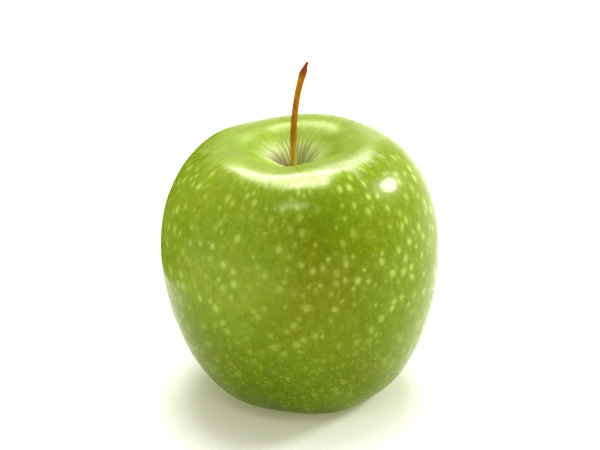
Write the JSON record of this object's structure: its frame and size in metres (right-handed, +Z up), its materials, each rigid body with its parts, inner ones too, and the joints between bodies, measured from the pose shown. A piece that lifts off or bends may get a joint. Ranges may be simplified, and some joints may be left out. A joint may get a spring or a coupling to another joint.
{
  "type": "apple",
  "caption": "Fresh green apple standing on its calyx end: a solid fruit with a stem in its top cavity and a dried calyx in the basin below.",
  "frame": {"origin": "under the middle of the fruit, in the plane it stands on", "axes": "+Z up, towards the stem. +X to the right and -Y towards the viewer, as the fruit is seen from its front"},
  "size_m": [0.0748, 0.0746, 0.0933],
  "materials": {
    "apple_skin": "waxy green skin with pale dots, yellower at the shoulders",
    "stem_bark": "orange-brown woody stalk, darker at its broken end",
    "dried_sepal": "dry, downy grey-brown leaf",
    "dried_tuft": "dark brown dried stamens"
  },
  "bodies": {
    "root": {"fruit": "apple_skin", "stem": "stem_bark", "sepal_1": "dried_sepal", "sepal_2": "dried_sepal", "sepal_3": "dried_sepal", "sepal_4": "dried_sepal", "sepal_5": "dried_sepal", "calyx_tuft": "dried_tuft"}
  },
  "joints": []
}
